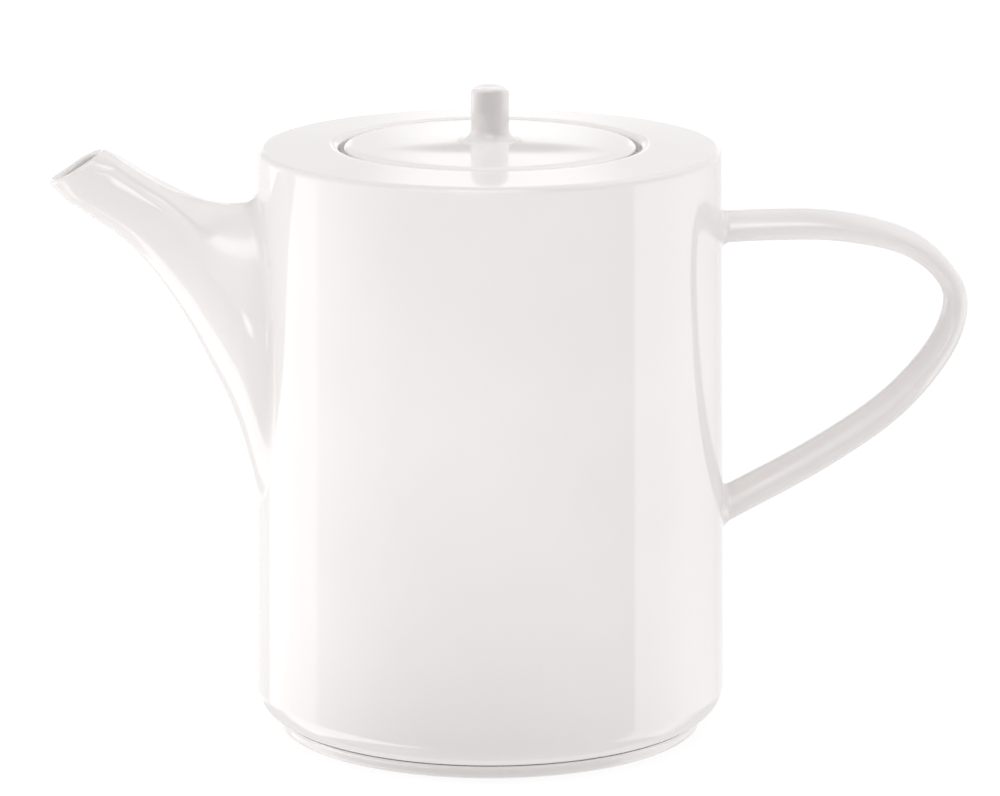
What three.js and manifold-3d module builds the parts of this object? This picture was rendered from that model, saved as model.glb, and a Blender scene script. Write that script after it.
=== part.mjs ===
// A porcelain coffee pot: a tall cylinder with a flat shoulder, a recessed round lid with a
// slim pin knob, a funnel-shaped spout and an open D-shaped handle.
// Millimetres, +Z up. The origin is on the pot's axis, on the surface that the pot stands on.
// The handle points along +X and the spout along -X.
import * as THREE from 'three';
import { mergeVertices } from 'three/addons/utils/BufferGeometryUtils.js';
import Module from 'manifold-3d';

const wasm = await Module();
wasm.setup();

// ---------------------------------------------------------------- driving dimensions

const JOINT_GAP = 0.3; // clearance left between pieces that meet

// foot ring
const FOOT_HEIGHT = 3.0;
const FOOT_OUTER_RADIUS = 54.0;
const FOOT_INNER_RADIUS = 48.0;
const FOOT_BEVEL = 0.8;

// body
const BODY_RADIUS_BOTTOM = 59.9; // just above the lower corner
const BODY_RADIUS_TOP = 58.3; // at the shoulder, so the wall has a slight draft
const SHOULDER_EDGE_Z = 149.2; // the shoulder's height next to the outer edge
const SHOULDER_RISE = 0.8; // the shoulder climbs this much towards the opening
const WALL = 3.4;
const FLOOR_THICKNESS = 4.0;
const LOWER_CORNER_RADIUS = 7.5;
const INNER_CORNER_RADIUS = 7.0;
const SHOULDER_EDGE_RADIUS = 1.7;
const INNER_SHOULDER_RADIUS = 4.0;
const OPENING_RADIUS = 38.0; // the vertical wall of the lid's recess
const OPENING_EDGE_RADIUS = 1.4;
const RECESS_DEPTH = 3.9;
const LEDGE_THICKNESS = 3.4;
const LEDGE_BEVEL = 0.8;
const LEDGE_ROOT = 2.0; // the ledge reaches this far under the recess wall
const SHOULDER_ROOT = 6.0; // and from here outwards the shoulder has its plain thickness
const THROAT_RADIUS = 33.8; // the inner edge of the ledge that carries the lid

// lid
const LID_RADIUS = 36.7;
const LID_EDGE_RADIUS = 1.2;
const LID_UNDER_BEVEL = 0.8;
const LID_RISE = 1.0; // the lid climbs this much from its edge to the knob
const LID_SEAT_RADIUS = 10.0; // the level seat that the knob stands on
const COLLAR_OUTER_RADIUS = 32.6;
const COLLAR_INNER_RADIUS = 29.8;
const COLLAR_DEPTH = 11.6;
const COLLAR_BEVEL = 0.9;

// knob
const KNOB_RADIUS = 4.8;
const KNOB_TOP_Z = 164.4;
const KNOB_EDGE_RADIUS = 0.9;
const KNOB_DISH = 0.6;
const KNOB_DISH_BEND = [0.45, 0.8]; // share of the radius, and of the dish's depth there
const FLARE_RADIUS = 9.0;
const FLARE_HEIGHT = 2.6;
const FLARE_BRIM = 0.4; // thickness left at the flare's rim
const FLARE_STEPS = 5;

// handle: its centre line in the X-Z plane, from the upper joint to the lower one, with the
// section's height across the line and its width across the pot at each point
const HANDLE = [
  // x, z, height, width
  [53.0, 127.5, 8.0, 11.0],
  [71.0, 128.15, 7.95, 11.0],
  [88.4, 127.55, 7.65, 10.8],
  [105.6, 123.3, 6.6, 10.6],
  [115.7, 115.3, 5.6, 10.4],
  [118.8, 106.5, 6.3, 10.4],
  [114.4, 94.7, 7.2, 10.5],
  [102.2, 80.8, 8.0, 10.8],
  [83.75, 68.2, 8.35, 11.2],
  [62.8, 57.0, 8.5, 11.6],
  [52.5, 51.7, 8.6, 11.8],
];

// spout: each row is a section, from its top point to its bottom point in the X-Z plane,
// with half its width across the pot
const SPOUT_SKIN = [
  // top x, top z, bottom x, bottom z, half width
  [-48.0, 136.2, -56.6, 44.0, 19.6],
  [-60.0, 135.7, -61.0, 66.5, 19.2],
  [-66.0, 135.6, -65.7, 84.0, 17.2],
  [-71.5, 136.5, -71.4, 97.0, 14.2],
  [-77.0, 138.5, -79.5, 112.0, 11.2],
  [-83.8, 141.9, -89.5, 125.0, 8.9],
  [-90.0, 145.8, -100.0, 133.1, 7.5],
  [-93.3, 148.0, -105.8, 137.0, 7.0],
  [-96.1, 149.6, -110.2, 141.4, 6.7],
];
const SPOUT_CHANNEL = [
  [-46.0, 131.8, -46.0, 78.0, 14.5],
  [-60.0, 132.4, -61.0, 83.0, 15.2],
  [-66.0, 132.5, -65.7, 92.5, 13.8],
  [-71.6, 133.4, -71.5, 104.0, 11.1],
  [-77.3, 135.6, -79.0, 117.0, 8.4],
  [-84.7, 139.3, -88.6, 127.8, 6.5],
  [-91.5, 143.9, -98.5, 135.1, 5.4],
  [-94.9, 146.5, -104.0, 138.4, 4.9],
  [-97.9, 148.6, -108.4, 142.5, 4.7],
  [-101.2, 154.3, -111.7, 148.2, 4.7],
];

// smoothness of the faceted solids
const ROUND_STEPS = 60;
const KNOB_STEPS = 28;
const SECTION_STEPS = 20;
const SPOUT_LENGTH_STEPS = 22;
const HANDLE_LENGTH_STEPS = 30;
const SHOULDER_EDGE_ANGLE = 87; // degrees, where the edge's arc meets the shoulder's slope
const SLOPE_STEP = 1e-3; // share of the handle's length over which its direction is taken
const WELD_DISTANCE = 1e-4;

// glaze and bare clay, as plain colours
const GLAZE = { color: 0xf3f1ef, roughness: 0.08, metalness: 0 };
const BARE_CLAY = { color: 0xe6e1da, roughness: 0.7, metalness: 0 };

// ---------------------------------------------------------------- helpers

// Points along an arc about (r, z), from one angle to another in degrees, ends included.
function arc(r, z, radius, fromDeg, toDeg, steps = 4) {
  return Array.from({ length: steps + 1 }, (_, i) => {
    const angle = THREE.MathUtils.degToRad(fromDeg + ((toDeg - fromDeg) * i) / steps);
    return [r + radius * Math.cos(angle), z + radius * Math.sin(angle)];
  });
}

// Turns a profile of [radius, z] points about the Z axis.
function turned(profile, steps = ROUND_STEPS) {
  const points = profile.map(([r, z]) => new THREE.Vector2(r, z));
  const geometry = new THREE.LatheGeometry(points, steps);
  return geometry.rotateX(Math.PI / 2);
}

function toManifold(geometry) {
  const bare = geometry.clone();
  bare.deleteAttribute('normal');
  bare.deleteAttribute('uv');
  const merged = mergeVertices(bare, WELD_DISTANCE);
  const index = Array.from(merged.index.array);
  const kept = [];
  for (let i = 0; i < index.length; i += 3) {
    const [a, b, c] = index.slice(i, i + 3);
    if (a !== b && b !== c && c !== a) kept.push(a, b, c);
  }
  const solid = new wasm.Manifold(
    new wasm.Mesh({
      numProp: 3,
      vertProperties: new Float32Array(merged.attributes.position.array),
      triVerts: new Uint32Array(kept),
    }),
  );
  return solid;
}

function toGeometry(solid) {
  const mesh = solid.getMesh();
  const geometry = new THREE.BufferGeometry();
  geometry.setAttribute('position', new THREE.BufferAttribute(mesh.vertProperties, 3));
  geometry.setIndex(new THREE.BufferAttribute(mesh.triVerts, 1));
  geometry.computeVertexNormals();
  return geometry;
}

// Spline through rows of numbers, each column on its own curve, at the fraction t of the rows.
function rowAt(rows, t) {
  const place = t * (rows.length - 1);
  const i = Math.min(Math.floor(place), rows.length - 2);
  const u = place - i;
  const before = rows[Math.max(i - 1, 0)];
  const after = rows[Math.min(i + 2, rows.length - 1)];
  return rows[i].map((p1, k) => {
    const p2 = rows[i + 1][k];
    const m1 = (p2 - before[k]) / 2;
    const m2 = (after[k] - p1) / 2;
    const u2 = u * u;
    const u3 = u2 * u;
    const points = (2 * u3 - 3 * u2 + 1) * p1 + (3 * u2 - 2 * u3) * p2;
    const tangents = (u3 - 2 * u2 + u) * m1 + (u3 - u2) * m2;
    return points + tangents;
  });
}

// A closed skin through rings that all have the same number of points, with flat ends.
function lofted(rings) {
  const count = rings[0].length;
  const vertices = rings.flat();
  const faces = [];
  for (let r = 0; r < rings.length - 1; r += 1) {
    for (let i = 0; i < count; i += 1) {
      const a = r * count + i;
      const b = r * count + ((i + 1) % count);
      faces.push(a, b, b + count, a, b + count, a + count);
    }
  }
  for (const [ring, flip] of [[0, true], [rings.length - 1, false]]) {
    const centre = vertices.length;
    const middle = rings[ring].reduce((sum, p) => sum.add(p), new THREE.Vector3());
    vertices.push(middle.divideScalar(count));
    for (let i = 0; i < count; i += 1) {
      const a = ring * count + i;
      const b = ring * count + ((i + 1) % count);
      faces.push(...(flip ? [centre, b, a] : [centre, a, b]));
    }
  }
  const geometry = new THREE.BufferGeometry().setFromPoints(vertices);
  geometry.setIndex(faces);
  return geometry;
}

// A section from a bottom point to a top point in the X-Z plane, rounded, half wide across Y.
function oval(topX, topZ, bottomX, bottomZ, halfWidth) {
  return Array.from({ length: SECTION_STEPS }, (_, i) => {
    const angle = (2 * Math.PI * i) / SECTION_STEPS;
    const along = (1 + Math.cos(angle)) / 2;
    return new THREE.Vector3(
      bottomX + (topX - bottomX) * along,
      halfWidth * Math.sin(angle),
      bottomZ + (topZ - bottomZ) * along,
    );
  });
}

function ovalLoft(rows, lengthSteps) {
  const places = Array.from({ length: lengthSteps + 1 }, (_, i) => i / lengthSteps);
  return toManifold(lofted(places.map((t) => oval(...rowAt(rows, t)))));
}

function piece(name, geometry, look) {
  const mesh = new THREE.Mesh(geometry, new THREE.MeshStandardMaterial(look));
  mesh.name = name;
  return mesh;
}

// ---------------------------------------------------------------- heights worked out once

const BODY_UNDERSIDE_Z = FOOT_HEIGHT + JOINT_GAP;
const OPENING_EDGE_Z = SHOULDER_EDGE_Z + SHOULDER_RISE;
const LEDGE_Z = OPENING_EDGE_Z - RECESS_DEPTH;
const LID_UNDERSIDE_Z = LEDGE_Z + JOINT_GAP;
const LID_EDGE_Z = OPENING_EDGE_Z;
const LID_TOP_Z = LID_EDGE_Z + LID_RISE;
const COLLAR_TOP_Z = LID_UNDERSIDE_Z - JOINT_GAP;

// ---------------------------------------------------------------- body

// The outside of the pot from the middle of its underside to the shoulder's inner edge.
// grow moves the whole skin outwards, for cutting what meets it.
function bodySkin(grow = 0) {
  const cornerR = BODY_RADIUS_BOTTOM - LOWER_CORNER_RADIUS;
  const cornerZ = BODY_UNDERSIDE_Z + LOWER_CORNER_RADIUS;
  const edgeR = BODY_RADIUS_TOP - SHOULDER_EDGE_RADIUS;
  const topZ = SHOULDER_EDGE_Z - SHOULDER_EDGE_RADIUS;
  return [
    [0, BODY_UNDERSIDE_Z - grow],
    ...arc(cornerR, cornerZ, LOWER_CORNER_RADIUS + grow, -90, 0, 6),
    ...arc(edgeR, topZ, SHOULDER_EDGE_RADIUS + grow, 0, SHOULDER_EDGE_ANGLE, 3),
  ];
}

function bodyPiece() {
  const openingArcR = OPENING_RADIUS + OPENING_EDGE_RADIUS;
  const openingArcZ = OPENING_EDGE_Z - OPENING_EDGE_RADIUS;
  const innerFloorZ = BODY_UNDERSIDE_Z + FLOOR_THICKNESS;
  const innerCornerR = BODY_RADIUS_BOTTOM - WALL - INNER_CORNER_RADIUS;
  const innerCornerZ = innerFloorZ + INNER_CORNER_RADIUS;
  const shoulderUnderZ = SHOULDER_EDGE_Z - WALL;
  const shoulderArcR = BODY_RADIUS_TOP - WALL - INNER_SHOULDER_RADIUS;
  const shoulderArcZ = shoulderUnderZ - INNER_SHOULDER_RADIUS;
  const ledgeUnderZ = LEDGE_Z - LEDGE_THICKNESS;
  const profile = [
    ...bodySkin(),
    ...arc(openingArcR, openingArcZ, OPENING_EDGE_RADIUS, 90, 180, 3),
    [OPENING_RADIUS, LEDGE_Z],
    [THROAT_RADIUS + LEDGE_BEVEL, LEDGE_Z],
    [THROAT_RADIUS, LEDGE_Z - LEDGE_BEVEL],
    [THROAT_RADIUS, ledgeUnderZ + LEDGE_BEVEL],
    [THROAT_RADIUS + LEDGE_BEVEL, ledgeUnderZ],
    [OPENING_RADIUS + LEDGE_ROOT, ledgeUnderZ],
    [OPENING_RADIUS + SHOULDER_ROOT, shoulderUnderZ],
    ...arc(shoulderArcR, shoulderArcZ, INNER_SHOULDER_RADIUS, 90, 0, 3),
    ...arc(innerCornerR, innerCornerZ, INNER_CORNER_RADIUS, 0, -90),
    [0, innerFloorZ],
  ];
  return piece('body', toGeometry(toManifold(turned(profile)).subtract(channel)), GLAZE);
}

// The body's outside as a filled solid, grown by the joint gap.
function bodyCutter() {
  const lidTop = [0, OPENING_EDGE_Z];
  return toManifold(turned([...bodySkin(JOINT_GAP), lidTop]));
}

// ---------------------------------------------------------------- the other pieces

// The narrow ring that the pot stands on, bare of glaze.
function footRing() {
  const profile = [
    [FOOT_INNER_RADIUS, FOOT_HEIGHT],
    [FOOT_INNER_RADIUS, FOOT_BEVEL],
    [FOOT_INNER_RADIUS + FOOT_BEVEL, 0],
    [FOOT_OUTER_RADIUS - FOOT_BEVEL, 0],
    [FOOT_OUTER_RADIUS, FOOT_BEVEL],
    [FOOT_OUTER_RADIUS, FOOT_HEIGHT],
    [FOOT_INNER_RADIUS, FOOT_HEIGHT],
  ];
  return piece('foot_ring', toGeometry(toManifold(turned(profile))), BARE_CLAY);
}

function spoutPiece() {
  const skin = ovalLoft(SPOUT_SKIN, SPOUT_LENGTH_STEPS);
  return piece('spout', toGeometry(skin.subtract(channel).subtract(pot)), GLAZE);
}

// The handle's section is set square to its centre line.
function handlePiece() {
  const rings = Array.from({ length: HANDLE_LENGTH_STEPS + 1 }, (_, i) => {
    const t = i / HANDLE_LENGTH_STEPS;
    const [x, z, height, width] = rowAt(HANDLE, t);
    const [ax, az] = rowAt(HANDLE, Math.max(t - SLOPE_STEP, 0));
    const [bx, bz] = rowAt(HANDLE, Math.min(t + SLOPE_STEP, 1));
    const along = new THREE.Vector2(bx - ax, bz - az).normalize();
    const half = height / 2;
    const top = [x - along.y * half, z + along.x * half];
    const bottom = [x + along.y * half, z - along.x * half];
    return oval(...top, ...bottom, width / 2).reverse();
  });
  return piece('handle', toGeometry(toManifold(lofted(rings)).subtract(pot)), GLAZE);
}

function lidDisc() {
  const edgeR = LID_RADIUS - LID_EDGE_RADIUS;
  const edgeZ = LID_EDGE_Z - LID_EDGE_RADIUS;
  const profile = [
    [0, LID_UNDERSIDE_Z],
    [LID_RADIUS - LID_UNDER_BEVEL, LID_UNDERSIDE_Z],
    [LID_RADIUS, LID_UNDERSIDE_Z + LID_UNDER_BEVEL],
    ...arc(edgeR, edgeZ, LID_EDGE_RADIUS, 0, 90, 3),
    [LID_SEAT_RADIUS, LID_TOP_Z],
    [0, LID_TOP_Z],
  ];
  return piece('lid_disc', toGeometry(toManifold(turned(profile))), GLAZE);
}

// The flange under the lid that keeps it in the throat when the pot is tipped.
function lidCollar() {
  const low = COLLAR_TOP_Z - COLLAR_DEPTH;
  const profile = [
    [COLLAR_INNER_RADIUS, COLLAR_TOP_Z],
    [COLLAR_INNER_RADIUS, low + COLLAR_BEVEL],
    [COLLAR_INNER_RADIUS + COLLAR_BEVEL, low],
    [COLLAR_OUTER_RADIUS - COLLAR_BEVEL, low],
    [COLLAR_OUTER_RADIUS, low + COLLAR_BEVEL],
    [COLLAR_OUTER_RADIUS, COLLAR_TOP_Z],
    [COLLAR_INNER_RADIUS, COLLAR_TOP_Z],
  ];
  return piece('lid_collar', toGeometry(toManifold(turned(profile))), GLAZE);
}

function lidKnob() {
  const baseZ = LID_TOP_Z + JOINT_GAP;
  const brimZ = baseZ + FLARE_BRIM;
  const flareWidth = FLARE_RADIUS - KNOB_RADIUS;
  const [bendShare, bendDepth] = KNOB_DISH_BEND;
  const flare = Array.from({ length: FLARE_STEPS + 1 }, (_, i) => {
    const angle = ((i / FLARE_STEPS) * Math.PI) / 2;
    const r = FLARE_RADIUS - flareWidth * Math.sin(angle);
    return [r, brimZ + FLARE_HEIGHT * (1 - Math.cos(angle))];
  });
  const profile = [
    [0, baseZ],
    [FLARE_RADIUS, baseZ],
    ...flare,
    ...arc(KNOB_RADIUS - KNOB_EDGE_RADIUS, KNOB_TOP_Z - KNOB_EDGE_RADIUS, KNOB_EDGE_RADIUS, 0, 90, 3),
    [KNOB_RADIUS * bendShare, KNOB_TOP_Z - KNOB_DISH * bendDepth],
    [0, KNOB_TOP_Z - KNOB_DISH],
  ];
  return piece('lid_knob', toGeometry(toManifold(turned(profile, KNOB_STEPS))), GLAZE);
}

// ---------------------------------------------------------------- assembly

const channel = ovalLoft(SPOUT_CHANNEL, SPOUT_LENGTH_STEPS);
const pot = bodyCutter();

const coffeePot = new THREE.Group();
coffeePot.add(bodyPiece(), footRing(), spoutPiece(), handlePiece());
coffeePot.add(lidDisc(), lidCollar(), lidKnob());

export default coffeePot;
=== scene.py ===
"""A white porcelain coffee pot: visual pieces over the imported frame, with floor, light and camera."""

import math

import bpy
import numpy as np
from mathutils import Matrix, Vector


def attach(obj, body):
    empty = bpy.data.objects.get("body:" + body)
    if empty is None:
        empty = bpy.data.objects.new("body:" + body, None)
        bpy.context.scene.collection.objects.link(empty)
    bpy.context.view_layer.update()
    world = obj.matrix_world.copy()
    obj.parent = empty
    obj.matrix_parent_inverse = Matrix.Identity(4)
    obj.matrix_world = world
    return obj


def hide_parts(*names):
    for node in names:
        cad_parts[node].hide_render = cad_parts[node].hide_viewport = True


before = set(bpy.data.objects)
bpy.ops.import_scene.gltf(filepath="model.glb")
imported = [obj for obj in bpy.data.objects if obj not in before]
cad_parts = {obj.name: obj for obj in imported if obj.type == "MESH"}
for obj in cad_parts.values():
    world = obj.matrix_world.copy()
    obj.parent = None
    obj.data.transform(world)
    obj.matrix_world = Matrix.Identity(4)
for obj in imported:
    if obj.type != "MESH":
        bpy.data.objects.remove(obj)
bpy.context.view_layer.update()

MM = 0.001

# ---------------------------------------------------------------- sizes, in millimetres

BODY_UNDER_Z = 3.3
BODY_R_LOW = 59.9
BODY_R_HIGH = 58.3
LOW_CORNER_R = 7.5
SHOULDER_EDGE_Z = 149.2
SHOULDER_EDGE_R = 1.7
OPENING_Z = 150.0
OPENING_R = 38.0
OPENING_EDGE_R = 1.4
OPENING_EDGE_WIDE = 2.2
LEDGE_Z = 146.1
RECESS_CORNER_R = 0.6
THROAT_R = 33.8
THROAT_EDGE_R = 0.8
LEDGE_THICK = 3.4
WALL = 3.4
FLOOR_THICK = 4.0
INNER_LOW_R = 7.0
INNER_HIGH_R = 4.0

FOOT_IN_R = 48.0
FOOT_OUT_R = 54.0
FOOT_EDGE_R = 1.0
FOOT_FLARE_R = 1.2
FOOT_TOP_Z = 3.6
BARE_CLAY_Z = 0.35  # the glaze is wiped off below this height

WALL_LOW_Z = BODY_UNDER_Z + LOW_CORNER_R
WALL_HIGH_Z = SHOULDER_EDGE_Z - SHOULDER_EDGE_R

LID_R = 36.7
LID_UNDER_Z = 146.4
LID_EDGE_R = 1.2
LID_EDGE_WIDE = 3.2
LID_LOW_EDGE_R = 0.8
LID_CROWN_Z = 151.0
LID_DOME_R = 650.0
FLARE_R = 8.2
FLARE_HIGH = 2.8
KNOB_R = 4.8
KNOB_TOP_Z = 164.4
KNOB_EDGE_R = 0.9
KNOB_SADDLE = 0.8  # how far the knob's top dips to the left and right

COLLAR_IN_R = 29.8
COLLAR_OUT_R = 32.6
COLLAR_TOP_Z = 146.6
COLLAR_LOW_Z = 135.4
COLLAR_EDGE_R = 0.9

AROUND = 256  # vertices around a lathed piece
POLE_R = 1e-9

HANDLE = np.array([  # x, z, height, width
    [53.0, 127.5, 8.0, 11.0],
    [71.0, 128.15, 7.95, 11.0],
    [88.4, 127.55, 7.65, 10.8],
    [105.6, 123.3, 6.6, 10.6],
    [115.7, 115.3, 5.6, 10.4],
    [118.8, 106.5, 6.3, 10.4],
    [114.4, 94.7, 7.2, 10.5],
    [102.2, 80.8, 8.0, 10.8],
    [83.75, 68.2, 8.35, 11.2],
    [62.8, 57.0, 8.5, 11.6],
    [52.5, 51.7, 8.6, 11.8],
])
SPOUT_SKIN = np.array([  # top x, top z, bottom x, bottom z, half width
    [-48.0, 136.2, -56.6, 44.0, 19.6],
    [-60.0, 135.7, -61.0, 66.5, 19.2],
    [-66.0, 135.6, -65.7, 84.0, 17.2],
    [-71.5, 136.5, -71.4, 97.0, 14.2],
    [-77.0, 138.5, -79.5, 112.0, 11.2],
    [-83.8, 141.9, -89.5, 125.0, 8.9],
    [-90.0, 145.8, -100.0, 133.1, 7.5],
    [-93.3, 148.0, -105.8, 137.0, 7.0],
    [-96.1, 149.6, -110.2, 141.4, 6.7],
])
SPOUT_CHANNEL = np.array([
    [-46.0, 131.8, -46.0, 78.0, 14.5],
    [-60.0, 132.4, -61.0, 83.0, 15.2],
    [-66.0, 132.5, -65.7, 92.5, 13.8],
    [-71.6, 133.4, -71.5, 104.0, 11.1],
    [-77.3, 135.6, -79.0, 117.0, 8.4],
    [-84.7, 139.3, -88.6, 127.8, 6.5],
    [-91.5, 143.9, -98.5, 135.1, 5.4],
    [-94.9, 146.5, -104.0, 138.4, 4.9],
    [-97.9, 148.6, -108.4, 142.5, 4.7],
    [-101.2, 154.3, -111.7, 148.2, 4.7],
])


# ---------------------------------------------------------------- mesh helpers

def make_object(name, verts, faces, materials, face_material=None, sharp=40.0):
    """A mesh object from points in millimetres."""
    mesh = bpy.data.meshes.new(name)
    mesh.from_pydata((np.asarray(verts) * MM).tolist(), [], faces)
    mesh.validate()
    for material in materials:
        mesh.materials.append(material)
    if face_material is not None:
        mesh.polygons.foreach_set("material_index", face_material)
    mesh.shade_smooth()
    mesh.set_sharp_from_angle(angle=math.radians(sharp))
    mesh.update()
    obj = bpy.data.objects.new(name, mesh)
    bpy.context.scene.collection.objects.link(obj)
    return obj


def arc(r, z, radius, start, end, steps=8, flat=1.0):
    """An arc of a profile; flat widens it sideways into an oval."""
    angles = np.radians(np.linspace(start, end, steps + 1))
    return [(r + flat * radius * math.cos(a), z + radius * math.sin(a)) for a in angles]


def supported(profile, step=4.0, edge=0.12):
    """The profile with rows added along its straight runs and close to their ends."""
    out = [profile[0]]
    for (r0, z0), (r1, z1) in zip(profile, profile[1:]):
        length = math.hypot(r1 - r0, z1 - z0)
        if length > 1.2:
            inner = np.linspace(edge, length - edge, max(int(length / step), 1) + 1)
            out += [(r0 + (r1 - r0) * d / length, z0 + (z1 - z0) * d / length) for d in inner]
        out.append((r1, z1))
    return out


def lathe(profile, around=AROUND, closed=False):
    """Vertices and faces of a profile turned about Z; points on the axis become poles.
    The profile runs so that the solid lies on its left, seen with the radius to the right."""
    verts = []
    rows = []
    turn = np.linspace(0, 2 * math.pi, around, endpoint=False)
    for r, z in profile:
        if r < POLE_R:
            rows.append([len(verts)] * around)
            verts.append((0.0, 0.0, z))
        else:
            rows.append(list(range(len(verts), len(verts) + around)))
            verts += [(r * math.cos(a), r * math.sin(a), z) for a in turn]
    if closed:
        rows.append(rows[0])
    faces = []
    for low, high in zip(rows, rows[1:]):
        for i in range(around):
            j = (i + 1) % around
            face = [low[i], low[j], high[j], high[i]]
            faces.append([v for k, v in enumerate(face) if v != face[k - 1]])
    return verts, faces


def row_at(rows, t):
    """Spline through the rows at fractions t, as an array of shape (len(t), columns)."""
    t = np.atleast_1d(t)
    place = t * (len(rows) - 1)
    i = np.clip(np.floor(place).astype(int), 0, len(rows) - 2)
    u = (place - i)[:, None]
    p1, p2 = rows[i], rows[i + 1]
    before = rows[np.maximum(i - 1, 0)]
    after = rows[np.minimum(i + 2, len(rows) - 1)]
    m1, m2 = (p2 - before) / 2, (after - p1) / 2
    points = (2 * u**3 - 3 * u**2 + 1) * p1 + (3 * u**2 - 2 * u**3) * p2
    return points + (u**3 - 2 * u**2 + u) * m1 + (u**3 - u**2) * m2


def wall_radius(z):
    """Radius of the pot's outer wall at a height."""
    share = np.clip((z - WALL_LOW_Z) / (WALL_HIGH_Z - WALL_LOW_Z), 0, 1)
    return BODY_R_LOW + (BODY_R_HIGH - BODY_R_LOW) * share


def stand_off(points):
    """Distance of points outside the pot's wall."""
    return np.hypot(points[..., 0], points[..., 1]) - wall_radius(points[..., 2])


def grid_faces(rows, count):
    faces = []
    for low, high in zip(rows, rows[1:]):
        for i in range(count):
            j = (i + 1) % count
            faces.append([low[i], low[j], high[j], high[i]])
    return faces


def rising(values):
    """Values made strictly increasing, so that a place can be looked up by its value."""
    return np.maximum.accumulate(values) + np.arange(len(values)) * 1e-9


# angles of the fillet's rows, from the wall to the skin; the rows crowd towards the wall so
# that the shading there leaves the wall without a visible step
FILLET_ANGLES = np.radians([0, 0.8, 2.4, 5, 9, 14, 20, 27, 35, 44, 54, 64, 74, 83, 90])
SINK = 0.25  # how far a joint's first row lies inside the wall


def joint_rows(lines, params, fillet):
    """Rows where a skin leaves the wall. lines: (sections, samples, 3) along each generator,
    starting inside the wall; fillet: radius for each generator. Returns the rows, from sunk in
    the wall to the end of the fillet, and the parameter where each generator leaves it."""
    away = stand_off(lines)
    count = len(lines)
    at_wall = np.zeros((count, 3))
    start = np.zeros(count)
    for i in range(count):
        start[i] = np.interp(0.0, rising(away[i]), params)
        at_wall[i] = [np.interp(start[i], params, lines[i, :, k]) for k in range(3)]
    along = np.roll(at_wall, -1, axis=0) - np.roll(at_wall, 1, axis=0)
    normal = np.column_stack([at_wall[:, 0], at_wall[:, 1], np.zeros(count)])
    normal /= np.linalg.norm(normal, axis=1)[:, None]
    out = np.cross(along, normal)
    out /= np.linalg.norm(out, axis=1)[:, None]
    centre = at_wall.mean(axis=0)
    if np.sum(out * (at_wall - centre)) < 0:
        out = -out
    rows = []
    ends = np.zeros(count)
    for angle in FILLET_ANGLES:
        row = np.zeros((count, 3))
        for i in range(count):
            height = fillet[i] * (1 - math.cos(angle))
            spread = fillet[i] * (1 - math.sin(angle))
            t = np.interp(height, rising(away[i]), params)
            point = np.array([np.interp(t, params, lines[i, :, k]) for k in range(3)])
            row[i] = point + out[i] * spread
            # the spread row keeps its distance from the round wall
            excess = stand_off(row[i]) - height
            radial = np.array([row[i][0], row[i][1], 0.0])
            row[i] -= radial / np.linalg.norm(radial) * excess
            ends[i] = t
        rows.append(row)
    radial = rows[0] * [1, 1, 0]
    sunk = rows[0] - radial / np.linalg.norm(radial, axis=1)[:, None] * SINK
    return [sunk] + rows, ends


# ---------------------------------------------------------------- materials

def principled(name):
    material = bpy.data.materials.new(name)
    material.use_nodes = True
    nodes = material.node_tree.nodes
    return material, nodes, material.node_tree.links, nodes["Principled BSDF"]


def glaze_material():
    """White porcelain under a clear glossy glaze: faint warm clouding and a very slight wave."""
    material, nodes, links, shader = principled("white_glaze")
    place = nodes.new("ShaderNodeTexCoord")
    clouds = nodes.new("ShaderNodeTexNoise")
    clouds.inputs["Scale"].default_value = 22.0
    clouds.inputs["Detail"].default_value = 3.0
    links.new(place.outputs["Object"], clouds.inputs["Vector"])
    tint = nodes.new("ShaderNodeValToRGB")
    tint.color_ramp.elements[0].position = 0.3
    tint.color_ramp.elements[0].color = (0.866, 0.832, 0.819, 1)
    tint.color_ramp.elements[1].position = 0.7
    tint.color_ramp.elements[1].color = (0.893, 0.861, 0.850, 1)
    links.new(clouds.outputs["Fac"], tint.inputs["Fac"])
    links.new(tint.outputs["Color"], shader.inputs["Base Color"])
    smear = nodes.new("ShaderNodeTexNoise")
    smear.inputs["Scale"].default_value = 60.0
    smear.inputs["Detail"].default_value = 2.0
    links.new(place.outputs["Object"], smear.inputs["Vector"])
    polish = nodes.new("ShaderNodeMapRange")
    polish.inputs["To Min"].default_value = 0.03
    polish.inputs["To Max"].default_value = 0.07
    links.new(smear.outputs["Fac"], polish.inputs["Value"])
    links.new(polish.outputs["Result"], shader.inputs["Roughness"])
    wave = nodes.new("ShaderNodeTexNoise")
    wave.inputs["Scale"].default_value = 45.0
    wave.inputs["Detail"].default_value = 1.0
    links.new(place.outputs["Object"], wave.inputs["Vector"])
    bump = nodes.new("ShaderNodeBump")
    bump.inputs["Strength"].default_value = 0.12
    bump.inputs["Distance"].default_value = 0.0002
    links.new(wave.outputs["Fac"], bump.inputs["Height"])
    links.new(bump.outputs["Normal"], shader.inputs["Normal"])
    shader.inputs["IOR"].default_value = 1.52
    return material


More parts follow.
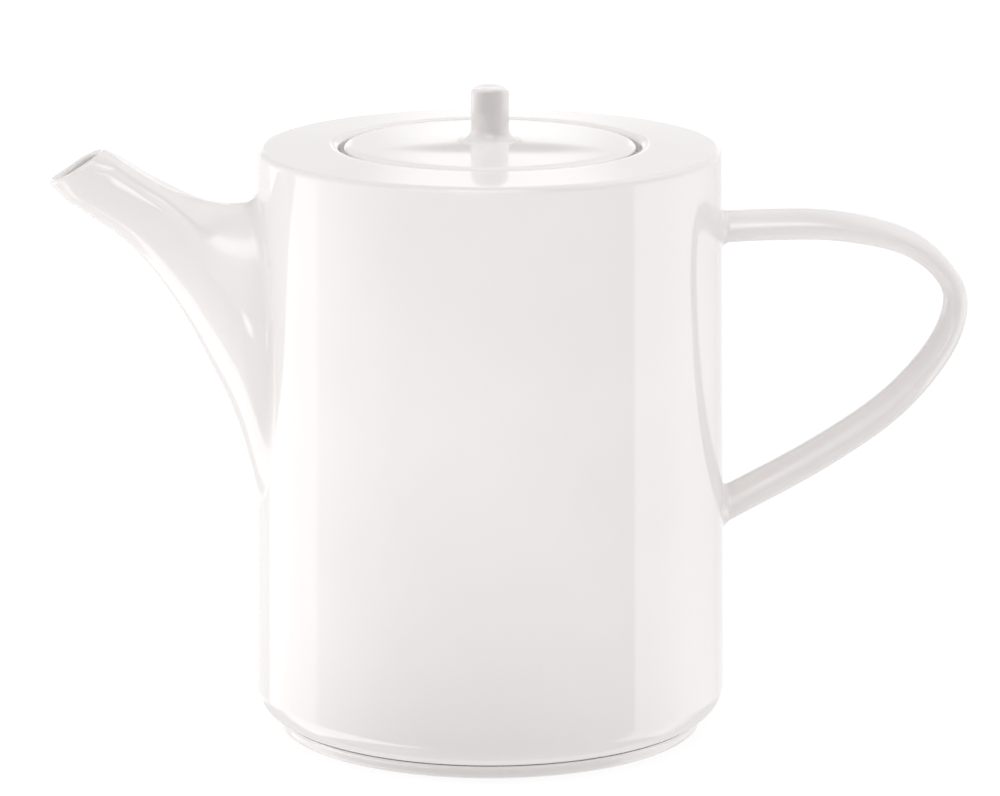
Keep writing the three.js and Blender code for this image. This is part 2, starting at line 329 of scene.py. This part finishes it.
def clay_material():
    """Bare fired clay, where the glaze is wiped off: warmer, matt and finely grained."""
    material, nodes, links, shader = principled("bare_clay")
    place = nodes.new("ShaderNodeTexCoord")
    grain = nodes.new("ShaderNodeTexNoise")
    grain.inputs["Scale"].default_value = 1400.0
    grain.inputs["Detail"].default_value = 4.0
    links.new(place.outputs["Object"], grain.inputs["Vector"])
    tint = nodes.new("ShaderNodeValToRGB")
    tint.color_ramp.elements[0].position = 0.35
    tint.color_ramp.elements[0].color = (0.60, 0.56, 0.50, 1)
    tint.color_ramp.elements[1].position = 0.6
    tint.color_ramp.elements[1].color = (0.78, 0.745, 0.69, 1)
    links.new(grain.outputs["Fac"], tint.inputs["Fac"])
    links.new(tint.outputs["Color"], shader.inputs["Base Color"])
    bump = nodes.new("ShaderNodeBump")
    bump.inputs["Strength"].default_value = 0.5
    bump.inputs["Distance"].default_value = 0.0001
    links.new(grain.outputs["Fac"], bump.inputs["Height"])
    links.new(bump.outputs["Normal"], shader.inputs["Normal"])
    shader.inputs["Roughness"].default_value = 0.72
    return material


glaze = glaze_material()
clay = clay_material()


# ---------------------------------------------------------------- pieces

def oval_lines(rows, t, angles, section):
    """Generators of a loft: (len(angles), len(t), 3)."""
    top_x, top_z, low_x, low_z, half = row_at(rows, t).T
    up, side = section(angles[:, None], t[None, :])
    mid_x, mid_z = (top_x + low_x) / 2, (top_z + low_z) / 2
    return np.stack([
        mid_x + (top_x - low_x) / 2 * up,
        half * side,
        mid_z + (top_z - low_z) / 2 * up,
    ], axis=-1)


def smooth(value, low, high):
    share = np.clip((value - low) / (high - low), 0, 1)
    return share * share * (3 - 2 * share)


def ellipse(angles, t):
    return np.cos(angles) + 0 * t, np.sin(angles) + 0 * t


def spout_section(angles, t):
    """Plain oval at the pot. Towards the mouth the flanks flatten below and a soft ridge climbs
    along the upper flank; at the mouth it is nearly oval again."""
    ending = 1 - 0.6 * smooth(t, 0.82, 1)
    firm = smooth(t, 0.25, 0.6) * ending
    flat = smooth(t, 0.05, 0.4) * ending
    up, side = np.cos(angles) + 0 * t, np.abs(np.sin(angles)) + 0 * t
    lens = up + (1 - side**2.3 - up) * 0.5 * firm
    boxed = -np.abs(up)**(1 - 0.15 * flat)
    wide = np.where(up < 0, side**(1 - 0.5 * flat), side)
    up = np.where(up < 0, boxed, lens)
    return up + 0.5 * firm * (1 - up**2), wide * np.sign(np.sin(angles))


def along_lines(lines, params, wanted):
    """Points on each generator at its own wanted parameters, (sections, rows, 3)."""
    return np.stack([
        np.stack([np.interp(wanted[i], params, lines[i, :, k]) for k in range(3)], axis=-1)
        for i in range(len(lines))
    ])


def channel_solid():
    """The hollow of the spout as a closed body, to open the wall behind it."""
    angles = np.linspace(0, 2 * math.pi, 96, endpoint=False)
    t = np.linspace(0, 0.35, 24)
    lines = oval_lines(SPOUT_CHANNEL, t, angles, ellipse)
    verts = lines.transpose(1, 0, 2).reshape(-1, 3)
    rows = [list(range(r * 96, (r + 1) * 96)) for r in range(len(t))]
    faces = [face[::-1] for face in grid_faces(rows, 96)]
    faces += [rows[0], rows[-1][::-1]]
    return make_object("channel_tool", verts, faces, [])


def build_body():
    inner_floor = BODY_UNDER_Z + FLOOR_THICK
    under_shoulder = SHOULDER_EDGE_Z - WALL
    under_ledge = LEDGE_Z - LEDGE_THICK
    profile = [
        (0, BODY_UNDER_Z),
        *arc(BODY_R_LOW - LOW_CORNER_R, WALL_LOW_Z, LOW_CORNER_R, -90, 0, 20),
        *arc(BODY_R_HIGH - SHOULDER_EDGE_R, WALL_HIGH_Z, SHOULDER_EDGE_R, 0, 87, 12),
        *arc(OPENING_R + OPENING_EDGE_WIDE, OPENING_Z - OPENING_EDGE_R, OPENING_EDGE_R, 86, 180, 14,
             flat=OPENING_EDGE_WIDE / OPENING_EDGE_R),
        *arc(OPENING_R - RECESS_CORNER_R, LEDGE_Z + RECESS_CORNER_R, RECESS_CORNER_R, 0, -90, 5),
        *arc(THROAT_R + THROAT_EDGE_R, LEDGE_Z - THROAT_EDGE_R, THROAT_EDGE_R, 90, 180, 6),
        *arc(THROAT_R + THROAT_EDGE_R, under_ledge + THROAT_EDGE_R, THROAT_EDGE_R, 180, 270, 6),
        (OPENING_R + 2.0, under_ledge),
        (OPENING_R + 6.0, under_shoulder),
        *arc(BODY_R_HIGH - WALL - INNER_HIGH_R, under_shoulder - INNER_HIGH_R, INNER_HIGH_R, 90, 0, 8),
        *arc(BODY_R_LOW - WALL - INNER_LOW_R, inner_floor + INNER_LOW_R, INNER_LOW_R, 0, -90, 14),
        (0, inner_floor),
    ]
    verts, faces = lathe(supported(profile))
    obj = make_object("porcelain_body", verts, faces, [glaze])
    tool = channel_solid()
    cut = obj.modifiers.new("pour_hole", "BOOLEAN")
    cut.operation = "DIFFERENCE"
    cut.solver = "EXACT"
    cut.object = tool
    graph = bpy.context.evaluated_depsgraph_get()
    opened = bpy.data.meshes.new_from_object(obj.evaluated_get(graph))
    obj.modifiers.clear()
    obj.data = opened
    opened.shade_smooth()
    opened.set_sharp_from_angle(angle=math.radians(40))
    bpy.data.objects.remove(tool)
    return obj


def build_foot():
    flare_z = FOOT_TOP_Z - 1.4
    outline = [
        (FOOT_IN_R, FOOT_EDGE_R),
        *arc(FOOT_IN_R + FOOT_EDGE_R, FOOT_EDGE_R, FOOT_EDGE_R, 180, 270, 5),
        *arc(FOOT_OUT_R - FOOT_EDGE_R, FOOT_EDGE_R, FOOT_EDGE_R, -90, 0, 5),
        (FOOT_OUT_R, flare_z),
        *arc(FOOT_OUT_R + FOOT_FLARE_R, flare_z, FOOT_FLARE_R, 180, 90, 5),
        (FOOT_OUT_R + FOOT_FLARE_R, FOOT_TOP_Z),
    ]
    verts, faces = lathe([(FOOT_IN_R, FOOT_TOP_Z)] + supported(outline, step=1.5), closed=True)
    heights = np.array([max(verts[v][2] for v in face) for face in faces])
    index = np.where(heights < BARE_CLAY_Z, 1, 0).tolist()
    return make_object("foot", verts, faces, [glaze, clay], index)


SKIN_END = 0.988  # where the spout's skin turns into its lip
LIP_DEPTH = 0.9   # how far inside the mouth the channel starts
LIP_ROUND = 0.62


def spout_fillet(angles):
    """Fillet radius round the joint: fuller on top, fading into the tail."""
    up = np.cos(angles)
    return 1.8 + 2.0 * smooth(up, 0.55, 1) - 0.9 * smooth(-up, 0.6, 1)


def channel_rows(angles, params, mouth_top, mouth_low, count_rows=60):
    """Rows of the channel, from just inside the mouth back into the pot's wall."""
    hollow = oval_lines(SPOUT_CHANNEL, params, angles, ellipse)
    # the channel's own lines run past the mouth, so each one stops a little inside its plane
    slant = mouth_low - mouth_top
    normal = np.array([slant[1], -slant[0]]) / np.hypot(*slant)
    over = (hollow[:, :, 0] - mouth_top[0]) * normal[0] + (hollow[:, :, 2] - mouth_top[1]) * normal[1]
    if over[0, 0] > 0:
        over = -over
    stop = np.array([np.interp(-LIP_DEPTH, rising(line), params) for line in over])
    deep = np.array([np.interp(-SINK, rising(line), params) for line in stand_off(hollow)])
    shares = np.linspace(0, 1, count_rows)
    return along_lines(hollow, params, stop[:, None] + (deep - stop)[:, None] * shares[None, :])


def lip_rows(outer_end, outer_dir, inner_start, inner_dir):
    """Rounded rows that join the last outer row to the first inner row."""
    outer_dir = outer_dir / np.linalg.norm(outer_dir, axis=1)[:, None]
    inner_dir = inner_dir / np.linalg.norm(inner_dir, axis=1)[:, None]
    reach = np.linalg.norm(outer_end - inner_start, axis=1)[:, None] * LIP_ROUND
    a = outer_end + outer_dir * reach
    b = inner_start + inner_dir * reach
    return [
        (1 - u)**3 * outer_end + 3 * (1 - u)**2 * u * a + 3 * (1 - u) * u**2 * b + u**3 * inner_start
        for u in np.linspace(0, 1, 14)[1:-1]
    ]


def build_spout():
    count = 144
    angles = np.linspace(0, 2 * math.pi, count, endpoint=False)
    params = np.linspace(0, 1, 1201)
    skin = oval_lines(SPOUT_SKIN, params, angles, spout_section)
    rows, start = joint_rows(skin, params, spout_fillet(angles))
    shares = np.linspace(0, 1, 73)[1:]
    wanted = start[:, None] + (SKIN_END - start)[:, None] * shares[None, :]
    outer = along_lines(skin, params, wanted)
    rows += [outer[:, k] for k in range(outer.shape[1])]
    end = row_at(SPOUT_SKIN, [1.0])[0]
    inner = channel_rows(angles, params, end[[0, 1]], end[[2, 3]])
    rows += lip_rows(rows[-1], rows[-1] - rows[-2], inner[:, 0], inner[:, 0] - inner[:, 1])
    rows += [inner[:, k] for k in range(inner.shape[1])]
    verts = np.concatenate(rows)
    index = [list(range(r * count, (r + 1) * count)) for r in range(len(rows))]
    index.append(index[0])
    faces = grid_faces(index, count)
    return make_object("pouring_spout", verts, faces, [glaze], sharp=50)


HANDLE_FILLET_R = 2.2


def handle_section(angles, t):
    """Rounded above and below, with a ridge along each side that is firmest near the joints."""
    firm = 0.6 - 0.3 * smooth(t, 0.25, 0.5) + 0.25 * smooth(t, 0.8, 0.95)
    up, side = np.cos(angles), np.abs(np.sin(angles))
    lens = np.sign(up) * (1 - side**2.3)
    return up + (lens - up) * firm, np.sin(angles) + 0 * t


def build_handle():
    count = 96
    angles = np.linspace(0, 2 * math.pi, count, endpoint=False)
    params = np.linspace(0, 1, 1601)
    x, z, height, width = row_at(HANDLE, params).T
    dx, dz = np.gradient(x, params), np.gradient(z, params)
    length = np.hypot(dx, dz)
    dx, dz = dx / length, dz / length
    up, side = handle_section(angles[:, None], params[None, :])
    lines = np.stack([
        x - dz * height / 2 * up,
        width / 2 * side,
        z + dx * height / 2 * up,
    ], axis=-1)
    middle = len(params) // 2
    fillet = np.full(count, HANDLE_FILLET_R)
    upper_rows, start = joint_rows(lines[:, :middle], params[:middle], fillet)
    lower_rows, stop = joint_rows(lines[:, ::-1][:, :middle], params[:middle], fillet)
    stop = 1 - stop
    shares = np.linspace(0, 1, 110)[1:-1]
    wanted = start[:, None] + (stop - start)[:, None] * shares[None, :]
    run = along_lines(lines, params, wanted)
    rows = upper_rows + [run[:, k] for k in range(run.shape[1])] + lower_rows[::-1]
    verts = list(np.concatenate(rows))
    index = [list(range(r * count, (r + 1) * count)) for r in range(len(rows))]
    faces = [face[::-1] for face in grid_faces(index, count)]
    faces += [index[0], index[-1][::-1]]
    return make_object("loop_handle", verts, faces, [glaze], sharp=50)


def build_lid():
    def dome_z(r):
        return LID_CROWN_Z - r * r / (2 * LID_DOME_R)

    edge_r = LID_R - LID_EDGE_WIDE
    edge_top = dome_z(edge_r + 0.14)
    dome = [(r, dome_z(r)) for r in np.linspace(edge_r, FLARE_R + 0.6, 14)]
    flare = [
        (FLARE_R - (FLARE_R - KNOB_R) * math.sin(a), dome_z(FLARE_R) + FLARE_HIGH * (1 - math.cos(a)))
        for a in np.radians(np.linspace(4, 90, 14))
    ]
    profile = [
        (0, LID_UNDER_Z),
        *arc(LID_R - LID_LOW_EDGE_R, LID_UNDER_Z + LID_LOW_EDGE_R, LID_LOW_EDGE_R, -90, 0, 6),
        *arc(edge_r, edge_top - LID_EDGE_R, LID_EDGE_R, 0, 86, 16, flat=LID_EDGE_WIDE / LID_EDGE_R),
        *dome,
        *flare,
        *arc(KNOB_R - KNOB_EDGE_R, KNOB_TOP_Z - KNOB_EDGE_R, KNOB_EDGE_R, 0, 90, 10),
        (3.0, KNOB_TOP_Z - 0.15),
        (2.0, KNOB_TOP_Z - 0.35),
        (1.0, KNOB_TOP_Z - 0.5),
        (0, KNOB_TOP_Z - 0.55),
    ]
    verts, faces = lathe(supported(profile))
    verts = np.array(verts)
    # the knob's top is a shallow saddle
    high = np.clip((verts[:, 2] - (KNOB_TOP_Z - 6)) / 6, 0, 1)
    across = verts[:, 0]**2 / KNOB_R**2
    verts[:, 2] -= KNOB_SADDLE * high**2 * across
    return make_object("lid_with_knob", verts, faces, [glaze])


def build_collar():
    profile = [
        (COLLAR_IN_R, COLLAR_TOP_Z),
        (COLLAR_IN_R, COLLAR_LOW_Z),
        *arc(COLLAR_IN_R + COLLAR_EDGE_R, COLLAR_LOW_Z, COLLAR_EDGE_R, 180, 270, 6),
        *arc(COLLAR_OUT_R - COLLAR_EDGE_R, COLLAR_LOW_Z, COLLAR_EDGE_R, -90, 0, 6),
        (COLLAR_OUT_R, COLLAR_TOP_Z),
    ]
    verts, faces = lathe(supported(profile), closed=True)
    return make_object("lid_flange", verts, faces, [glaze])


PIECES = [
    (build_body, "pot", ["body"], "glaze"),
    (build_foot, "pot", ["foot_ring"], "bare_clay"),
    (build_spout, "pot", ["spout"], "glaze"),
    (build_handle, "pot", ["handle"], "glaze"),
    (build_lid, "lid", ["lid_disc", "lid_knob"], "glaze"),
    (build_collar, "lid_carrier", ["lid_collar"], "glaze"),
]
for build, body, nodes, slot in PIECES:
    piece = build()
    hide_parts(*nodes)
    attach(piece, body)


# ---------------------------------------------------------------- light worked out by direction

VIEW_AZIMUTH = 4.5  # degrees towards the spout
TOP_LEVEL = 4.0     # the brightest level a ramp can hold


class Brightness:
    """Maths nodes in one tree. Azimuth is in degrees to the right of the viewing direction, with
    0 in front of the pot and 180 behind it."""

    def __init__(self, tree, coordinate):
        self.nodes, self.links = tree.nodes, tree.links
        place = self.nodes.new("ShaderNodeTexCoord")
        split = self.nodes.new("ShaderNodeSeparateXYZ")
        self.links.new(place.outputs[coordinate], split.inputs[0])
        self.x, self.y, self.z = split.outputs
        turn = self.calc("ARCTAN2", self.x, self.calc("MULTIPLY", self.y, -1.0))
        turn = self.calc("ADD", self.calc("MULTIPLY", turn, 180 / math.pi), VIEW_AZIMUTH)
        self.turn = self.calc("WRAP", turn, 180.0, -180.0)
        self.around = self.calc("DIVIDE", self.calc("ADD", self.turn, 180.0), 360.0)

    def calc(self, operation, *values):
        node = self.nodes.new("ShaderNodeMath")
        node.operation = operation
        for socket, value in zip(node.inputs, values):
            if isinstance(value, (int, float)):
                socket.default_value = value
            else:
                self.links.new(value, socket)
        return node.outputs[0]

    def fade(self, value, low, high, shape="SMOOTHSTEP"):
        """0 below low, 1 above high."""
        node = self.nodes.new("ShaderNodeMapRange")
        node.interpolation_type = shape
        self.links.new(value, node.inputs["Value"])
        node.inputs["From Min"].default_value = low
        node.inputs["From Max"].default_value = high
        return node.outputs["Result"]

    def mix(self, share, a, b):
        kept = self.calc("MULTIPLY", self.calc("SUBTRACT", 1.0, share), a)
        return self.calc("MULTIPLY_ADD", share, b, kept)

    def by_azimuth(self, stops):
        node = self.nodes.new("ShaderNodeValToRGB")
        elements = node.color_ramp.elements
        for azimuth, _ in stops[1:-1]:
            elements.new((azimuth + 180) / 360)
        for element, (_, level) in zip(elements, stops):
            element.color = (level / TOP_LEVEL,) * 3 + (1,)
        self.links.new(self.around, node.inputs["Fac"])
        return self.calc("MULTIPLY", node.outputs["Color"], TOP_LEVEL)

    def ring(self, azimuths, levels):
        """Levels at azimuths, joined up through the seam behind the pot."""
        gap = 360 + azimuths[0] - azimuths[-1]
        seam = levels[-1] + (levels[0] - levels[-1]) * (180 - azimuths[-1]) / gap
        return self.by_azimuth([(-180, seam), *zip(azimuths, levels), (180, seam)])

    def table(self, value, azimuths, rows):
        """Rows of levels, each at its own place along value; a row is one level or a ring."""
        level, below = None, 0
        for at, levels in rows:
            row = levels if isinstance(levels, float) else self.ring(azimuths, levels)
            if level is None:
                level = row
            else:
                level = self.mix(self.fade(value, below, at, "LINEAR"), level, row)
            below = at
        return level

    def blob(self, offset, width, value, middle, height):
        """1 in the middle of a soft oval, 0 outside it."""
        a = self.calc("DIVIDE", offset, width)
        b = self.calc("DIVIDE", self.calc("SUBTRACT", value, middle), height)
        away = self.calc("ADD", self.calc("MULTIPLY", a, a), self.calc("MULTIPLY", b, b))
        return self.calc("SUBTRACT", 1.0, self.fade(away, 0.3, 1.7))


# ---------------------------------------------------------------- floor

GLOW_AZIMUTHS = [-135, -50, 0, 50, 135]
GLOW_ROWS = [  # at the square root of the distance from the pot's axis in metres
    (0.26, 0.95),
    (0.36, [0.75, 1.34, 1.15, 1.07, 0.75]),
    (0.5, [0.75, 1.3, 2.75, 0.8, 0.75]),
    (0.7, [0.75, 2.15, 2.8, 1.5, 0.76]),
    (1.0, [0.75, 0.0, 0.0, 0.24, 0.76]),
]


def disc(name, z):
    """A wide flat disc, its rings closer together near the pot."""
    radius, rings, around = 7000.0, 24, 96
    profile = [(0.0, z)] + [(radius * (k / rings)**2, z) for k in range(1, rings + 1)]
    verts, faces = lathe(profile, around)
    material, _, _, shader = principled(name)
    shader.inputs["Roughness"].default_value = 0.9
    shader.inputs["Specular IOR Level"].default_value = 0.0
    shader.inputs["Emission Color"].default_value = (1, 1, 1, 1)
    obj = make_object(name, verts, faces, [material])
    return obj, material.node_tree, shader


def build_floor():
    """The floor that is seen, and under it the glow that it throws back at the pot."""
    floor, _, shader = disc("pale_floor", 0.0)
    shader.inputs["Base Color"].default_value = (0.25, 0.25, 0.25, 1)
    shader.inputs["Emission Strength"].default_value = 0.8
    floor.visible_glossy = False
    floor.visible_diffuse = False
    glow, tree, shader = disc("floor_glow", -1.0)
    shader.inputs["Base Color"].default_value = (0, 0, 0, 1)
    glow.visible_glossy = False
    glow.visible_camera = False
    light = Brightness(tree, "Object")
    squares = light.calc("MULTIPLY", light.x, light.x)
    squares = light.calc("MULTIPLY_ADD", light.y, light.y, squares)
    reach = light.calc("POWER", squares, 0.25)
    level = light.table(reach, GLOW_AZIMUTHS, GLOW_ROWS)
    light.links.new(level, shader.inputs["Emission Strength"])


build_floor()


# ---------------------------------------------------------------- studio light

# The soft light falls on the pot; the mirrored light is what its glaze shows: a white strip at
# the left, a panel at the right with a hard edge, a dim front. Rows are by elevation in degrees.
SOFT_AZIMUTHS = [-160, -120, -90, -65, -40, -15, 10, 35, 60, 85, 115, 150]
SOFT_ROWS = [
    (12, [0.75, 0.76, 2.97, 1.27, 0.0, 0.0, 0.6, 0.0, 0.0, 2.36, 0.77, 0.76]),
    (45, [0.75, 0.75, 1.43, 0.0, 0.0, 0.32, 1.79, 0.66, 0.0, 1.16, 0.76, 0.76]),
    (78, 1.9),
]
MIRROR_AZIMUTHS = [-160, -100, -60, -25, 10, 45, 80, 120]
MIRROR_ROWS = [
    (5, [0.74, 1.76, 1.82, 0.9, 0.8, 0.2, 1.49, 1.38]),
    (25, [0.33, 1.06, 0.65, 1.89, 1.6, 0.3, 0.43, 1.33]),
    (55, [0.63, 0.75, 0.98, 3.54, 3.07, 0.42, 2.19, 1.86]),
    (78, 1.02),
]
MIRROR_LOW = [
    (-180, 1.1), (-139.2, 1.1), (-138.8, 2.1), (-95, 2.17), (-92, 1.25), (-70, 0.45), (-45, 0.0),
    (0, 0.55), (74.8, 0.55), (75.2, 1.9), (110, 2.1), (150, 1.07), (180, 1.07),
]


BEHIND_HALF_WIDTH = 1.9  # half width in degrees of the narrow light behind the pot


def within(light, value, low_edge, high_edge):
    """1 between the two edges, each a pair where the step starts and ends."""
    above = light.fade(light.calc("MULTIPLY", value, -1.0), -high_edge[1], -high_edge[0])
    return light.calc("MULTIPLY", light.fade(value, *low_edge), above)


def mirrored_above(light, rise):
    level = light.table(rise, MIRROR_AZIMUTHS, MIRROR_ROWS)
    # behind the pot stands a narrow light with a dim gap across it, and wider off a low glow
    offset = light.calc("SUBTRACT", 180.0, light.calc("ABSOLUTE", light.turn))
    level = light.mix(light.blob(offset, BEHIND_HALF_WIDTH, rise, 14.0, 12.0), level, 1.17)
    glow = light.calc("MULTIPLY", light.blob(offset, 22.0, rise, 2.0, 9.0), light.fade(offset, 4.0, 6.0))
    level = light.mix(glow, level, 1.25)
    level = light.mix(light.blob(offset, BEHIND_HALF_WIDTH, rise, 11.9, 1.3), level, 0.35)
    # a softbox high in front
    beside = light.fade(light.calc("ABSOLUTE", light.turn), 22.0, 26.0)
    lift = within(light, rise, (36.0, 48.0), (54.0, 66.0))
    softbox = light.calc("MULTIPLY", lift, light.calc("SUBTRACT", 1.0, beside))
    return light.mix(softbox, level, 4.6)


def mirrored_below(light, rise):
    level = light.by_azimuth(MIRROR_LOW)
    # low on the left the bench is bright up to a slanting edge, and further down it is dark
    left = light.calc("MULTIPLY", light.turn, -1.0)
    down = light.calc("MULTIPLY", rise, -1.0)
    slant = light.calc("MULTIPLY_ADD", down, 2.73, left)
    bench = light.calc("MULTIPLY", light.fade(slant, 146.0, 151.0), light.fade(down, 17.0, 21.0))
    bench = light.calc("MULTIPLY", bench, light.fade(left, 10.0, 30.0))
    level = light.mix(light.fade(down, 41.0, 46.0), light.mix(bench, level, 2.7), 0.3)
    # further back it is plain, so that the pot's edges stay clear of the white behind it
    rear = light.fade(light.calc("ABSOLUTE", light.turn), 115.0, 130.0)
    return light.mix(light.calc("MULTIPLY", rear, light.fade(down, 17.0, 21.0)), level, 0.8)


def build_world():
    world = bpy.data.worlds.new("studio")
    bpy.context.scene.world = world
    world.use_nodes = True
    light = Brightness(world.node_tree, "Generated")
    rise = light.calc("MULTIPLY", light.calc("ARCSINE", light.z), 180 / math.pi)
    soft = light.table(rise, SOFT_AZIMUTHS, SOFT_ROWS)
    above, below = mirrored_above(light, rise), mirrored_below(light, rise)
    mirrored = light.mix(light.fade(rise, -1.5, 1.5, "LINEAR"), below, above)
    # a small light low in front draws the ridges of the spout and handle
    beside = light.calc("ABSOLUTE", light.calc("ADD", light.turn, 10.0))
    mirrored = light.mix(light.blob(beside, 9.0, rise, -1.0, 4.0), mirrored, 4.2)
    path = light.nodes.new("ShaderNodeLightPath")
    level = light.mix(path.outputs["Is Glossy Ray"], soft, mirrored)
    level = light.mix(path.outputs["Is Camera Ray"], level, 1.0)
    background = light.nodes["Background"]
    light.links.new(level, background.inputs["Strength"])
    background.inputs["Color"].default_value = (1, 1, 1, 1)


build_world()


# ---------------------------------------------------------------- camera

CAMERA_TARGET_Z = 84.4
CAMERA_SIDE = 2.54  # the aim lies this far to the camera's right of the pot's axis
CAMERA_DISTANCE = 1300.0
CAMERA_ELEVATION = 12.74
CAMERA_LENS = 184.4


def build_camera():
    elevation, azimuth = math.radians(CAMERA_ELEVATION), math.radians(VIEW_AZIMUTH)
    back = Vector((
        -math.sin(azimuth) * math.cos(elevation),
        -math.cos(azimuth) * math.cos(elevation),
        math.sin(elevation),
    ))
    right = Vector((math.cos(azimuth), -math.sin(azimuth), 0))
    data = bpy.data.cameras.new("camera")
    data.lens = CAMERA_LENS
    data.sensor_width = 36.0
    data.clip_start = 0.05
    data.clip_end = 50.0
    camera = bpy.data.objects.new("camera", data)
    place = Vector((0, 0, CAMERA_TARGET_Z)) + right * CAMERA_SIDE + back * CAMERA_DISTANCE
    camera.location = place * MM
    camera.rotation_euler = back.to_track_quat("Z", "Y").to_euler()
    bpy.context.scene.collection.objects.link(camera)
    bpy.context.scene.camera = camera


build_camera()
bpy.context.scene.view_settings.view_transform = "Standard"
